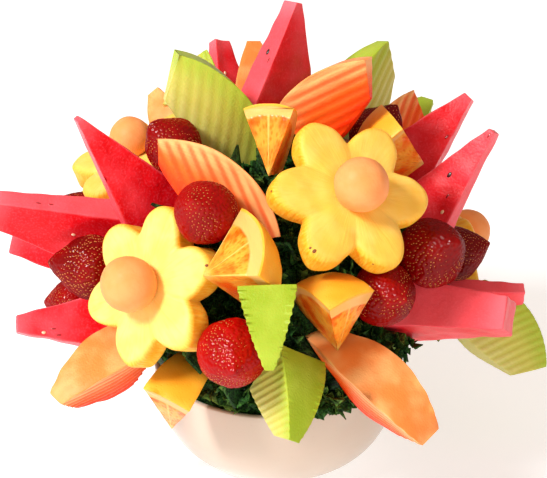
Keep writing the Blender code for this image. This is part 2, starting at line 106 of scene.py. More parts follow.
class Look:
    """One material. Keyword values go straight on the shader's own sockets."""

    def __init__(self, name, **constants):
        self.material = bpy.data.materials.new(name)
        self.material.use_nodes = True
        self.tree = self.material.node_tree
        self.shader = self.tree.nodes["Principled BSDF"]
        for socket, value in constants.items():
            self.shader.inputs[socket.replace("_", " ")].default_value = value

    def node(self, kind, settings, feeds, out=0):
        """Add a node: its settings first, then a value or a wire for each socket named."""
        node = self.tree.nodes.new(kind)
        for name, value in settings.items():
            setattr(node, name, value)
        for key, value in feeds.items():
            self.feed(node.inputs[key], value)
        return Wire(self, node.outputs[out])

    def feed(self, socket, value):
        if isinstance(value, Wire):
            self.tree.links.new(value.socket, socket)
        else:
            socket.default_value = value

    def maths(self, operation, *values):
        return self.node("ShaderNodeMath", {"operation": operation}, dict(enumerate(values)))

    def place(self):
        return self.node("ShaderNodeTexCoord", {}, {}, "Object")

    def read(self, attribute, out="Vector"):
        return self.node("ShaderNodeAttribute", {"attribute_name": attribute}, {}, out)

    def parts(self, vector):
        first = self.node("ShaderNodeSeparateXYZ", {}, {0: vector})
        return [Wire(self, socket) for socket in first.socket.node.outputs]

    def join(self, x, y, z):
        return self.node("ShaderNodeCombineXYZ", {}, {0: x, 1: y, 2: z})

    def vector(self, operation, first, second=None, out=0):
        feeds = {0: first} if second is None else {0: first, 1: second}
        return self.node("ShaderNodeVectorMath", {"operation": operation}, feeds, out)

    def noise(self, where, size, detail=2.0, distortion=0.0):
        """Soft noise from 0 to 1 whose lumps are about `size` across."""
        feeds = {"Vector": where, "Scale": 1 / size, "Detail": detail, "Distortion": distortion}
        return self.node("ShaderNodeTexNoise", {}, feeds)

    def cells(self, where, size):
        """Distance to the nearest of scattered points about `size` apart."""
        feeds = {"Vector": where, "Scale": 1 / size}
        return self.node("ShaderNodeTexVoronoi", {}, feeds, "Distance")

    def step(self, value, low, high):
        """0 below low, 1 above high, and smooth between."""
        return self.node("ShaderNodeMapRange", {"interpolation_type": "SMOOTHSTEP"},
                         {"Value": value, "From Min": low, "From Max": high})

    def blend(self, share, first, second):
        """Colour blend: share 0 is all first, 1 is all second. A Mix node takes its colours on
        sockets 6 and 7, and gives the blend on socket 2."""
        feeds = {0: share, 6: first, 7: second}
        return self.node("ShaderNodeMix", {"data_type": "RGBA"}, feeds, 2)

    def coat(self, colour, roughness=None, height=None, depth=0.0):
        """Connect what varies: colour, roughness, and a relief of the given depth in metres."""
        self.feed(self.shader.inputs["Base Color"], colour)
        if roughness is not None:
            self.feed(self.shader.inputs["Roughness"], roughness)
        if height is not None:
            bump = self.node("ShaderNodeBump", {}, {"Height": height, "Distance": depth})
            self.feed(self.shader.inputs["Normal"], bump)


def show(bm, name, slot, nodes, *looks, sharp=None):
    """The finished piece: rides on the one body and stands for its solids."""
    mesh = bpy.data.meshes.new(name)
    bm.to_mesh(mesh)
    bm.free()
    mesh.shade_smooth()
    if sharp is not None:
        mesh.set_sharp_from_angle(angle=math.radians(sharp))
    piece = bpy.data.objects.new(name, mesh)
    bpy.context.scene.collection.objects.link(piece)
    for look in looks:
        mesh.materials.append(look.material)
    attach(piece, "root")
    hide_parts(*nodes)


def turned(points, steps):
    """A closed solid turned about Z, from (radius, height) points that run from axis to axis."""
    bm = bmesh.new()
    line = [bm.verts.new((radius, 0, height)) for radius, height in points]
    edges = [bm.edges.new(pair) for pair in zip(line, line[1:])]
    bmesh.ops.spin(bm, geom=line + edges, cent=(0, 0, 0), axis=(0, 0, 1), angle=math.tau,
                   steps=steps, use_merge=True)
    bmesh.ops.remove_doubles(bm, verts=bm.verts, dist=MERGE)
    bmesh.ops.dissolve_degenerate(bm, edges=bm.edges, dist=MERGE)
    bmesh.ops.recalc_face_normals(bm, faces=bm.faces)
    return bm


def bowl_radius(height):
    rise = min(max(height / BOWL_HEIGHT, 0.0), 1.0)
    return mix(BOWL_FOOT_RADIUS, BOWL_RIM_RADIUS, math.sqrt(1 - (1 - rise) ** BOWL_FULLNESS))


def bowl_outline():
    """From the middle of the floor inside, up and over the round lip, down to the foot."""
    rows = [1 - math.cos(math.pi / 2 * i / BOWL_ROWS) for i in range(BOWL_ROWS + 1)]
    outside = [(bowl_radius(h * BOWL_HEIGHT), h * BOWL_HEIGHT) for h in rows]
    inside = [(r - BOWL_WALL, z) for r, z in outside if z > BOWL_INSIDE * BOWL_FLOOR]
    middle = BOWL_RIM_RADIUS - BOWL_WALL / 2
    lip = [(middle - math.cos(a) * BOWL_WALL / 2,
            BOWL_HEIGHT + math.sin(a) * BOWL_WALL * LIP_HEIGHT)
           for a in (math.pi * i / LIP_ROWS for i in range(1, LIP_ROWS))]
    floor = [(0.0, BOWL_FLOOR), (BOWL_FOOT_RADIUS, BOWL_FLOOR)]
    return floor + inside + lip + outside[::-1] + [(0.0, 0.0)]


glaze = Look("cream_glaze", Roughness=0.28, Coat_Weight=0.4, Coat_Roughness=0.12,
             Subsurface_Weight=0.08, Subsurface_Scale=0.003)
cloud = glaze.noise(glaze.place(), 0.05)
pinholes = glaze.cells(glaze.place(), 0.004)
bare = glaze.blend(cloud, srgb(208, 190, 173), srgb(199, 179, 160))
cream = glaze.blend(glaze.step(pinholes, 0.10, 0.04) * 0.22, bare, srgb(170, 142, 112))
throwing = glaze.noise(glaze.vector("MULTIPLY", glaze.place(), (0.2, 0.2, 1.0)), 0.004)
glaze.coat(cream, mix(0.24, 0.38, cloud), throwing, 0.0001)
show(turned(bowl_outline(), BOWL_STEPS), "glazed_bowl", "bowl_cream", ["bowl"], glaze)

# ================================================================ kale
# The bowl is packed with heads of dark green curly kale, pressed into a mound. Small frilled
# leaf tips stand out of it wherever the fruit leaves room, and a few hang over the rim.
HEART = Vector((0.0, 0.0, 0.105))     # middle of the mound, where the skewers meet
GOLDEN_ANGLE = math.pi * (3 - math.sqrt(5))   # turn between neighbours on an even spiral
FRILL_COUNT = 1680
FRILL_HIGHEST = 0.98                  # sine of the elevation of the highest frill
FRILL_LOWEST = -0.50                  # and of the lowest ones
FRILL_FROM = 0.104                    # reach of the shell that the frills are dropped from
FRINGE_TOP = -0.10                    # below this they hang only at the front and the back
FRINGE_SIDE = 0.60                    # and not where they would point this far sideways
FRILL_REACH = 0.0085                  # from the root to the curled edge
FRILL_SIZES = (0.75, 1.15)
SMALLER_FRILLS = (0.6, 0.45)          # tried where a whole one would cut into a neighbour
FRILL_SINK = 0.0015                   # how deep the root stands in the heap
FRILL_OUTWARD = 0.8                   # pull away from the heart, beside the heap's own slope
FRILL_LEAN = 0.7                      # and pull to any side
FRILL_RAYS = 12
FRILL_ROWS = 2
FRILL_FAN = 2.7                       # how far the frill opens, radians
FRILL_ARCH = (-0.25, 0.45)            # how far it bends back or forward along its length
FRILL_ROOT = 0.12                     # widens the root, as a share of the reach
FRILL_LOBES = 4.0                     # radians of the wide waves from the middle to a side
LOBE_DEPTH = 0.14
FRILL_TEETH = 25.0                    # radians of the small waves from the middle to a side
TOOTH_DEPTH = 0.12
TOOTH_CURL = 0.8
FRILL_CURL = 0.0022
FRILL_THICKNESS = 0.0005
MOUND_CURLED = 0.62                   # how far the look of the frills' edges goes on the mound


def solid_of(*names):
    """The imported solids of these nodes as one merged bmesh."""
    bm = bmesh.new()
    for name in names:
        bm.from_mesh(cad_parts[name].data)
    bmesh.ops.remove_doubles(bm, verts=bm.verts, dist=MERGE)
    return bm


def tree_of(*names):
    bm = solid_of(*names)
    tree = BVHTree.FromBMesh(bm)
    bm.free()
    return tree


def frill(size, chance):
    """A leaf tip: a fan whose outer edge is longer than its arc, so it curls up and down."""
    bm = bmesh.new()
    tip = bm.verts.layers.float.new("tip")
    bmesh.ops.create_grid(bm, x_segments=FRILL_RAYS, y_segments=FRILL_ROWS, size=1.0)
    phase = chance.uniform(0, math.tau)
    arch = chance.uniform(*FRILL_ARCH)
    for v in bm.verts:
        along = (v.co.y + 1) / 2
        turn = v.co.x * FRILL_FAN / 2 * mix(0.5, 1.0, along)
        notch = 1 + LOBE_DEPTH * along * math.sin(FRILL_LOBES * v.co.x + phase)
        notch += TOOTH_DEPTH * along * math.sin(FRILL_TEETH * v.co.x)
        reach = size * FRILL_REACH * along * notch
        curl = along ** 1.5 * size * FRILL_CURL
        wave = (curl * math.sin(2 * FRILL_LOBES * v.co.x + phase)
                + TOOTH_CURL * curl * math.sin(FRILL_TEETH * v.co.x))
        root = FRILL_ROOT * FRILL_REACH * size
        v[tip] = along
        v.co = Vector((math.sin(turn) * (reach + root), wave + arch * reach * along,
                       math.cos(turn) * reach))
    bmesh.ops.solidify(bm, geom=bm.faces[:], thickness=FRILL_THICKNESS)
    return bm


def grow_frills(heap, others):
    """Frills on an even spiral over the heap. Where another piece is in the way a frill is
    turned and shrunk, and left out if it still doesn't fit."""
    chance = random.Random(11)
    for i in range(FRILL_COUNT):
        height = mix(FRILL_HIGHEST, FRILL_LOWEST, (i + 0.5) / FRILL_COUNT)
        level = math.sqrt(1 - height * height)
        direction = Vector((level * math.sin(i * GOLDEN_ANGLE),
                            -level * math.cos(i * GOLDEN_ANGLE), height))
        if height < FRINGE_TOP and abs(direction.x) > FRINGE_SIDE * level:
            continue
        place, normal, _, _ = heap.find_nearest(HEART + direction * FRILL_FROM)
        lean = Vector((chance.uniform(-1, 1), chance.uniform(-1, 1), chance.uniform(-1, 1)))
        aim = (normal + direction * FRILL_OUTWARD + lean * FRILL_LEAN).normalized()
        for size in (chance.uniform(*FRILL_SIZES), *SMALLER_FRILLS):
            bm = frill(size, chance)
            turn = aim.to_track_quat("Z", "Y").to_matrix().to_4x4()
            spin = Matrix.Rotation(chance.uniform(0, math.tau), 4, "Z")
            bm.transform(Matrix.Translation(place - aim * FRILL_SINK) @ turn @ spin)
            if not BVHTree.FromBMesh(bm).overlap(others):
                yield bm
                break
            bm.free()


leaf = Look("curly_kale_leaf", Roughness=0.5, Specular_IOR_Level=0.15)
tip = leaf.read("tip", "Fac")
patch = leaf.noise(leaf.place(), 0.014)
curls = leaf.noise(leaf.place(), 0.0024, 3.0, 1.2)
# Painted shade: the leaf is near-black green in the hollows of its curl relief and toward the
# frills' roots, and lighter green on the crests and curled edges.
painted_curl_shade = leaf.step(curls, 0.38, 0.66)
dark = leaf.blend(painted_curl_shade, srgb(4, 16, 9), srgb(30, 70, 28))
edge = leaf.blend(leaf.step(patch, 0.45, 0.72), srgb(54, 108, 38), srgb(140, 178, 74))
leaf.coat(leaf.blend(tip ** 3 * (painted_curl_shade * 0.7 + 0.3), dark, edge), mix(0.45, 0.7, patch),
          curls, 0.0018)

fruit_nodes = sorted(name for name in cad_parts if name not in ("bowl", "kale"))
mound = solid_of("kale")
curled = mound.verts.layers.float.new("tip")
for v in mound.verts:
    v[curled] = MOUND_CURLED
for frilled in grow_frills(tree_of("kale"), tree_of("bowl", *fruit_nodes)):
    part = bpy.data.meshes.new("frill")
    frilled.to_mesh(part)
    frilled.free()
    mound.from_mesh(part)
    bpy.data.meshes.remove(part)
show(mound, "curly_kale", "kale_green", ["kale"], leaf, sharp=60)

# ================================================================ watermelon
# Seedless watermelon cut into long tapered triangles, each on a skewer pushed up its wide end.
# The cut faces are wet and grainy, with paler pink on the narrow sides and outer tip as painted
# light; a few seeds are left in.
# at   = azimuth, elevation and reach of its middle, seen from HEART
# aim  = azimuth and elevation of its outer end; roll turns it about that line
WATERMELON = [
    # at                     aim         roll  length  root   thick  end
    ((175, 71, 0.150), (150, 71), 73, 0.068, 0.056, 0.018, 0.005),
    ((-162, 45, 0.150), (-163, 52), 29, 0.060, 0.032, 0.012, 0.013),
    ((-68, 46, 0.140), (-77, 55), -78, 0.084, 0.048, 0.015, 0.003),
    ((-82, 24, 0.146), (-81, 19), -110, 0.084, 0.052, 0.019, 0.018),
    ((-96, 11, 0.134), (-98, 11), -75, 0.072, 0.034, 0.014, 0.017),
    ((-77, -1, 0.125), (-78, 4), -55, 0.074, 0.044, 0.015, 0.010),
    ((105, 45, 0.134), (107, 45), 46, 0.076, 0.050, 0.014, 0.006),
    ((82, 39, 0.134), (94, 53), 46, 0.080, 0.046, 0.013, 0.004),
    ((60, 10, 0.116), (69, 6), 144, 0.076, 0.060, 0.032, 0.024),
    ((88, 2, 0.120), (89, 3), 126, 0.066, 0.036, 0.012, 0.016),
    ((-150, 14, 0.134), (-150, 16), 20, 0.080, 0.044, 0.014, 0.006),
    ((147, 8, 0.138), (147, 10), -60, 0.080, 0.042, 0.014, 0.005),
    ((-128, -8, 0.126), (-130, -8), 110, 0.076, 0.040, 0.014, 0.012),
]
WATERMELON_ROUND = 0.0010
WATERMELON_ROWS = (12, 5, 30)
WATERMELON_SHARP = 30                 # edges sharper than this are rounded, degrees
WATERMELON_OUTER = 0.62               # share of its thickness that is left at the outer end
WATERMELON_UNEVEN = (0.0009, 0.011)   # depth of its unevenness, and size of the lumps
UNEVEN_SHIFT = (1.7, 0.9, 2.3)        # from piece to piece, so that no two are uneven alike
SEEDS_LEFT = [
    # slice, place on it in millimetres, kind
    (1, (15, 0, 2), "ripe"), (1, (16, 3, -3), "slit"), (4, (-16, 2, 8), "slit"),
    (4, (-13, 2, 15), "slit"), (4, (-2, 8, -10), "pale"), (6, (6, 5, 21), "pale"),
    (6, (4, 5, 15), "slit"), (6, (8, 5, 12), "slit"), (7, (-8, 5, 11), "slit"),
    (8, (2, 5, 4), "ripe"), (8, (-1, 4, 37), "slit"), (8, (-10, 6, -15), "pale"),
    (8, (-6, 5, -6), "slit"), (9, (5, -13, 14), "slit"), (2, (4, 5, 6), "pale"),
    (3, (8, -6, 2), "slit"), (5, (3, -6, 12), "pale"), (10, (2, 5, 9), "slit"),
    (11, (4, 6, -4), "ripe"), (11, (-5, 5, 9), "pale"), (11, (3, -6, 8), "slit"),
    (12, (-4, 6, 3), "ripe"), (12, (3, 5, 14), "slit"), (12, (5, -6, -6), "pale"),
    (13, (5, 6, 2), "pale"), (13, (-4, 5, 14), "slit"), (13, (3, -6, 10), "ripe"),
]
SEED_KINDS = {
    # half width, half thickness and half length, and how dark: 0 is cream and 1 black-brown
    "ripe": ((0.0012, 0.0006, 0.0021), 0.92),
    "pale": ((0.0010, 0.0006, 0.0014), 0.0),
    "slit": ((0.0006, 0.0003, 0.0017), 0.55),
}


def outward(azimuth, elevation):
    """Unit vector for an azimuth from the front and an elevation, in degrees."""
    a, e = math.radians(azimuth), math.radians(elevation)
    return Vector((math.sin(a) * math.cos(e), -math.cos(a) * math.cos(e), math.sin(e)))


def seat(at, aim, roll):
    """World matrix of a piece whose own +Z points along aim."""
    azimuth, elevation, reach = at
    turn = Matrix.Rotation(math.radians(aim[0]), 4, "Z")
    turn @= Matrix.Rotation(math.radians(90 - aim[1]), 4, "X")
    turn @= Matrix.Rotation(math.radians(roll), 4, "Z")
    return Matrix.Translation(HEART + outward(azimuth, elevation) * reach) @ turn


def block(rows_x, rows_y, rows_z):
    """A cube from -1 to 1 whose faces are cut into even rows along each axis."""
    bm = bmesh.new()
    bmesh.ops.create_cube(bm, size=2)
    for axis, rows in enumerate((rows_x, rows_y, rows_z)):
        normal = Vector((0, 0, 0))
        normal[axis] = 1
        for row in range(1, rows):
            bmesh.ops.bisect_plane(bm, geom=bm.verts[:] + bm.edges[:] + bm.faces[:],
                                   plane_co=normal * (2 * row / rows - 1), plane_no=normal)
    return bm


def soften(bm, angle, offset, segments=3):
    """Round the edges that are sharper than an angle in degrees, as a kitchen knife leaves them."""
    rim = [e for e in bm.edges if e.calc_face_angle(0) > math.radians(angle)]
    bmesh.ops.bevel(bm, geom=rim, offset=offset, segments=segments, profile=0.5,
                    affect="EDGES", material=-1, clamp_overlap=True)


def roughen(bm, depth, size, seed):
    """Move each point a little along its normal, by noise with lumps of a size."""
    bm.normal_update()
    shift = Vector([seed * step for step in UNEVEN_SHIFT])
    moves = [v.normal * depth * noise.noise(v.co / size + shift) for v in bm.verts]
    for v, move in zip(bm.verts, moves):
        v.co += move


def mark(bm, name, value):
    """Store a vector for each point, worked out from its place before it is seated."""
    layer = bm.verts.layers.float_vector.new(name)
    for v in bm.verts:
        v[layer] = value(v.co)


def watermelon_spike(length, root, thick, end):
    """A straight tapered triangle; `cut` keeps how far across, through and along each point is."""
    bm = block(*WATERMELON_ROWS)
    mark(bm, "cut", lambda co: Vector((co.x, co.y, (co.z + 1) / 2)))
    for v in bm.verts:
        t = (v.co.z + 1) / 2
        half_width = mix(root, end, t) / 2
        half_thick = mix(thick, thick * WATERMELON_OUTER, t) / 2
        v.co = Vector((v.co.x * half_width, v.co.y * half_thick, (t - 0.5) * length))
    soften(bm, WATERMELON_SHARP, WATERMELON_ROUND)
    return bm


def press_in(bm, surface, place, half_size, darkness):
    """Press a small flat seed into a surface, in the frame of the piece that it lies on."""
    layer = bm.verts.layers.float.get("dark") or bm.verts.layers.float.new("dark")
    point, normal, _, _ = surface.find_nearest(place)
    lay = normal.to_track_quat("Y", "Z").to_matrix().to_4x4()
    seed = bmesh.ops.create_icosphere(bm, subdivisions=2, radius=1.0,
                                      matrix=Matrix.Translation(point) @ lay
                                      @ Matrix.Diagonal((*half_size, 1.0)))["verts"]
    for v in seed:
        v[layer] = darkness
    return seed


flesh = Look("watermelon_flesh", Roughness=0.4, Specular_IOR_Level=0.2, Subsurface_Weight=0.15,
             Subsurface_Scale=0.004)
across, _, along = flesh.parts(flesh.read("cut"))
grain = flesh.noise(flesh.place(), 0.0013, 3.0)
vein = flesh.noise(flesh.place(), 0.008, 2.0, 0.5)
cloud = flesh.noise(flesh.place(), 0.03)
red = flesh.blend(flesh.step(vein, 0.3, 0.75), srgb(222, 3, 16), srgb(234, 16, 32))
pink = flesh.blend(flesh.step(grain, 0.45, 0.75) * 0.35, red, srgb(244, 84, 100))
dry = flesh.blend(flesh.step(cloud, 0.42, 0.75) * 0.40, pink, srgb(248, 96, 112))
# Painted light: the narrow side faces and the outer tip are paler pink.
side = flesh.step(abs(across), 0.90, 1.0)
painted_lit_edges = flesh.blend(flesh.step(along, 0.80, 1.05) * 0.45 + side * 0.42, dry,
                     srgb(252, 116, 128))
rind = flesh.blend(flesh.step(along, 0.03, 0.01), srgb(238, 150, 130), srgb(170, 176, 120))
flesh.coat(flesh.blend(flesh.step(along, 0.07, 0.03), painted_lit_edges, rind),
           mix(0.28, 0.5, grain), grain * 0.5 + vein, 0.0004)
seed_shell = Look("watermelon_seed", Roughness=0.3, Coat_Weight=0.4, Coat_Roughness=0.2)
dark = seed_shell.read("dark", "Fac") + seed_shell.noise(seed_shell.place(), 0.001) * 0.06
reddish = seed_shell.blend(seed_shell.step(dark, 0.05, 0.5), srgb(246, 196, 160),
                           srgb(150, 4, 18))
seed_shell.coat(seed_shell.blend(seed_shell.step(dark, 0.65, 0.9), reddish, srgb(58, 10, 12)))

seeds_left = bmesh.new()
for number, (at, aim, roll, length, root, thick, end) in enumerate(WATERMELON, 1):
    spike = watermelon_spike(length, root, thick, end)
    roughen(spike, *WATERMELON_UNEVEN, number)
    surface = BVHTree.FromBMesh(spike)
    for slice_number, place, kind in SEEDS_LEFT:
        if slice_number == number:
            pressed = press_in(seeds_left, surface, Vector(place) / 1000, *SEED_KINDS[kind])
            bmesh.ops.transform(seeds_left, matrix=seat(at, aim, roll), verts=pressed)
    spike.transform(seat(at, aim, roll))
    show(spike, f"watermelon_slice_{number:02}", "watermelon_red",
         [f"watermelon_{number:02}"], flesh)
show(seeds_left, "watermelon_seeds", "watermelon_red", [], seed_shell)

# ================================================================ melons
# Crescents of cantaloupe and honeydew, peeled smooth on the rind side and crinkle-cut on both
# faces, so that ridges run along each slice. Each is skewered through its lower end.
# grooves = degrees between the crinkle knife's grooves and the slice's length, the millimetres
# from one groove to the next, and those from the mean face up to a ridge or down to a groove
WHOLE = (-47, 48)           # stretch of the melon's arc, degrees from its widest place
LOPPED = (-48, 37)
CLIPPED = (-34, 48)
STUB = (5, 47)
POINTED = (13, 49)
MOST = (-20, 42)
HALF = (-2, 44)
SHORT = (16, 44)
CANTALOUPE = [
    # at                     aim         roll  stretch  grooves
    ((64, 74, 0.139), (70, 39), 81, MOST, (-8, 5.8, 0.30)),
    ((-168, 56, 0.139), (-174, 58), 96, HALF, (0, 5.8, 0.25)),
    ((-146, 35, 0.140), (-143, 37), 37, HALF, (0, 5.8, 0.35)),
    ((-30, 51, 0.127), (-107, 35), 119, CLIPPED, (28, 5.6, 0.35)),
    ((136, 34, 0.142), (128, 32), 50, HALF, (20, 5.2, 0.55)),
    ((-57, -9, 0.125), (-51, -18), 72, MOST, (0, 4.6, 0.34)),
    ((24, -1, 0.119), (56, -27), 112, LOPPED, (0, 4.8, 0.26)),
    ((-172, -12, 0.126), (-160, -26), 95, WHOLE, (0, 5.8, 0.40)),
]
HONEYDEW = [
    # at                     aim         roll  stretch  grooves
    ((-77, 71, 0.123), (-85, 59), 101, LOPPED, (38, 6.6, 0.20)),
    ((-143, 53, 0.148), (-147, 58), 148, SHORT, (0, 5.8, 0.40)),
    ((138, 52, 0.139), (136, 42), 72, MOST, (0, 6.0, 0.30)),
    ((-2, 20, 0.159), (3, -58), 92, POINTED, (90, 4.3, 0.42)),
    ((1, 0, 0.131), (-7, -39), 45, STUB, (90, 4.0, 0.26)),
    ((94, -14, 0.145), (79, -50), 39, MOST, (70, 5.2, 0.22)),
    ((-121, 8, 0.131), (-134, 20), 84, HALF, (0, 5.8, 0.40)),
    ((143, 22, 0.162), (144, 26), 95, HALF, (0, 5.8, 0.40)),
    ((151, -18, 0.128), (141, -30), 80, MOST, (20, 5.8, 0.40)),
]
MELONS = {
    # outer radius of the melon, thickness of its flesh, width of the rind side, width inside
    "cantaloupe": (0.067, 0.038, 0.032, 0.011),
    "honeydew": (0.072, 0.040, 0.034, 0.012),
}
MELON_POLE = math.radians(50)   # where a slice comes to its tip
MELON_TIP = 0.12                # share of its full width that is left there
MELON_TIP_DEPTH = 0.15          # and of its depth
MELON_UNEVEN = (0.0006, 0.024)
CRESCENT_ROUND = 0.0006
CRESCENT_SHARP = 48             # edges sharper than this are rounded, degrees
RIDGE_FADE = 0.004              # the ridges are lower where the slice's half width is under this
CROSSWISE_FROM = 45             # degrees: grooves at more than this need rows along the slice
LENGTHWISE_ROWS = (46, 5, 52)   # faces across, through and along, to carry lengthwise grooves
CROSSWISE_ROWS = (22, 5, 116)
crescent_blocks = {rows: block(*rows) for rows in (LENGTHWISE_ROWS, CROSSWISE_ROWS)}


def crescent(kind, stretch, grooves):
    """A slice of melon; `cut` keeps how far out, how far sideways and how far along each point
    is, and `crinkle` is 1 on the ridges and -1 in the grooves."""
    radius, flesh_depth, rind_width, inner_width = MELONS[kind]
    start, end = (math.radians(angle) for angle in stretch)
    middle = (start + end) / 2
    slant, pitch, height = math.radians(grooves[0]), grooves[1] / 1000, grooves[2] / 1000

    def spread(angle):
        return mix(MELON_TIP, 1.0, math.cos(math.pi / 2 * angle / MELON_POLE))

    def depth(angle):
        return flesh_depth * mix(MELON_TIP_DEPTH, 1.0, math.sqrt(1 - (angle / MELON_POLE) ** 2))

    ends = [Vector((math.cos(a - middle), 0, math.sin(a - middle))) * (radius - depth(a) / 2)
            for a in (start, end)]
    origin = (ends[0] + ends[1]) / 2
    rows = CROSSWISE_ROWS if abs(grooves[0]) > CROSSWISE_FROM else LENGTHWISE_ROWS
    bm = crescent_blocks[rows].copy()
    mark(bm, "cut", lambda co: Vector(((co.x + 1) / 2, co.y, (co.z + 1) / 2)))
    crinkle = bm.verts.layers.float.new("crinkle")
    for v in bm.verts:
        angle = mix(start, end, (v.co.z + 1) / 2)
        across = (v.co.x + 1) / 2
        r = radius - depth(angle) * (1 - across)
        x, z = r * math.cos(angle - middle) - origin.x, r * math.sin(angle - middle) - origin.z
        wave = math.cos(math.tau * (x * math.cos(slant) - z * math.sin(slant)) / pitch)
        v[crinkle] = wave
        half_width = mix(inner_width, rind_width, across) * spread(angle) / 2
        ridge = wave * height * min(half_width / RIDGE_FADE, 1.0)
        v.co = Vector((x, v.co.y * (half_width + ridge), z))
    soften(bm, CRESCENT_SHARP, CRESCENT_ROUND, 2)
    return bm


def melon_look(name, rind, edge, flesh, groove, core, groove_shade_share):
    """Melon flesh from the peeled rind in to the seeds: four colours, and a darker one, painted
    shade in the grooves, that also mottles the fibres.
    """
    look = Look(name, Roughness=0.42, Specular_IOR_Level=0.2, Subsurface_Weight=0.15,
                Subsurface_Scale=0.005)
    out, side, _ = look.parts(look.read("cut"))
    wander = (look.noise(look.place(), 0.012) - 0.5) * 0.12
    depth = out + wander
    face = look.step(abs(side), 0.9, 0.99)
    # Painted shade: the crinkled faces take the darker colour down in their grooves.
    painted_groove_shade = look.step(look.read("crinkle", "Fac"), 0.8, -1.0) * face
    inner = look.blend(look.step(depth, 0.0, 0.50), core, flesh)
    outer = look.blend(look.step(depth, 0.45, 0.92), inner, edge)
    groove_shaded = look.blend(painted_groove_shade * groove_shade_share * (1 - look.step(out, 0.86, 1.0)), outer, groove)
    cloud = look.step(look.noise(look.place(), 0.02), 0.35, 0.7)
    peeled = look.blend(cloud, rind, edge)
    on_rind = look.step(out, 0.985, 0.998)
    skin = look.blend(on_rind, groove_shaded, peeled)
    fibre = look.noise(look.vector("MULTIPLY", look.read("cut"), (1.0, 1.0, 0.25)), 0.05, 2.0)
    mottled = look.blend(look.step(fibre, 0.35, 0.75) * 0.25 * (1 - on_rind * 0.6), skin, groove)
    grain = look.noise(look.place(), 0.0012, 3.0)
    look.coat(mottled, mix(0.3, 0.5, grain), grain + fibre * (0.5 - on_rind * 0.4), 0.0003)
    return look


# The fifth colour of each is the painted shade in the grooves.
melon_looks = {
    "cantaloupe": melon_look("cantaloupe_flesh", srgb(247, 140, 66), srgb(252, 182, 114),
                             srgb(246, 106, 32), srgb(242, 74, 10), srgb(236, 42, 0), 0.7),
    "honeydew": melon_look("honeydew_flesh", srgb(152, 176, 38), srgb(170, 190, 58),
                           srgb(202, 198, 94), srgb(182, 178, 62), srgb(206, 200, 118), 0.5),
}
MELON_SLOTS = {"cantaloupe": "cantaloupe_orange", "honeydew": "honeydew_green"}
for kind, slices in (("cantaloupe", CANTALOUPE), ("honeydew", HONEYDEW)):
    for number, (at, aim, roll, stretch, grooves) in enumerate(slices, 1):
        slice_mesh = crescent(kind, stretch, grooves)
        roughen(slice_mesh, *MELON_UNEVEN, number)
        slice_mesh.transform(seat(at, aim, roll))
        show(slice_mesh, f"{kind}_slice_{number:02}", MELON_SLOTS[kind],
             [f"{kind}_{number:02}"], melon_looks[kind])
for pattern in crescent_blocks.values():
    pattern.free()

# ================================================================ oranges
# An orange is halved and each half cut into wedges with the rind left on. The knife leaves the
# pale pith as a band between the rind and the juicy flesh, and thin membranes across the flesh.
ORANGE = [
    # at                   aim         roll  angle size  pith, pith on the cross-cut
    ((-3, 67, 0.141), (180, 71), 169, 42, 1.12, 0.15, 0.12),
    ((76, 58, 0.125), (-60, 55), 167, 42, 1.25, 0.06, 0.06),
    ((-7, 34, 0.146), (84, 40), -153, 74, 1.18, 0.17, 0.20),
    ((15, 24, 0.125), (27, 69), 11, 42, 1.22, 0.10, 0.18),
    ((-31, -7, 0.109), (-1, 52), -27, 36, 1.34, 0.14, 0.16),
    ((156, 40, 0.126), (120, 66), 20, 50, 1.00, 0.12, 0.12),
]
ORANGE_RADIUS = 0.036
ORANGE_ROUND = 0.0005
ORANGE_SHARP = 40                     # edges sharper than this are rounded, degrees
ORANGE_UNEVEN = (0.0003, 0.006)
ORANGE_BANDS = 12                     # rows of faces from the middle of the orange to its rind
ORANGE_SNAP = 0.00001                 # points this near to the first three cuts lie on them
ORANGE_MERGE = 0.00002
WEDGE_BACK = 0.3                      # from the orange's middle to the wedge's own, in radii
WEDGE_OUT = 0.55
SEGMENTS = 10


def orange_wedge(angle, pith, end_pith):
    """Rind toward +Z and cross-cut face toward -Y; `cut` is the place in the whole orange."""
    bm = bmesh.new()
    poles = Matrix.Rotation(math.radians(90), 4, "X")
    bmesh.ops.create_uvsphere(bm, u_segments=96, v_segments=48, radius=ORANGE_RADIUS,
                              matrix=poles)
    half = math.radians(angle / 2)
    for normal in (Vector((0, -1, 0)), Vector((math.cos(half), 0, -math.sin(half))),
                   Vector((-math.cos(half), 0, -math.sin(half)))):
        cut = bmesh.ops.bisect_plane(bm, geom=bm.verts[:] + bm.edges[:] + bm.faces[:],
                                     plane_co=Vector((0, 0, 0)), plane_no=normal,
                                     clear_outer=True, dist=ORANGE_SNAP)
        rim = [g for g in cut["geom_cut"] if isinstance(g, bmesh.types.BMEdge)]
        bmesh.ops.edgeloop_fill(bm, edges=rim)
    bmesh.ops.remove_doubles(bm, verts=bm.verts, dist=ORANGE_MERGE)
    for axis in (Vector((0, 1, 0)), Vector((0, 0, 1))):
        for row in range(1, ORANGE_BANDS):
            bmesh.ops.bisect_plane(bm, geom=bm.verts[:] + bm.edges[:] + bm.faces[:],
                                   plane_co=axis * ORANGE_RADIUS * row / ORANGE_BANDS,
                                   plane_no=axis, dist=ORANGE_MERGE)
    soften(bm, ORANGE_SHARP, ORANGE_ROUND, 2)
    mark(bm, "cut", lambda co: co / ORANGE_RADIUS)
    mark(bm, "pith", lambda co: Vector((pith, end_pith, 0)))
    bmesh.ops.translate(bm, verts=bm.verts,
                        vec=(0, -WEDGE_BACK * ORANGE_RADIUS, -WEDGE_OUT * ORANGE_RADIUS))
    return bm


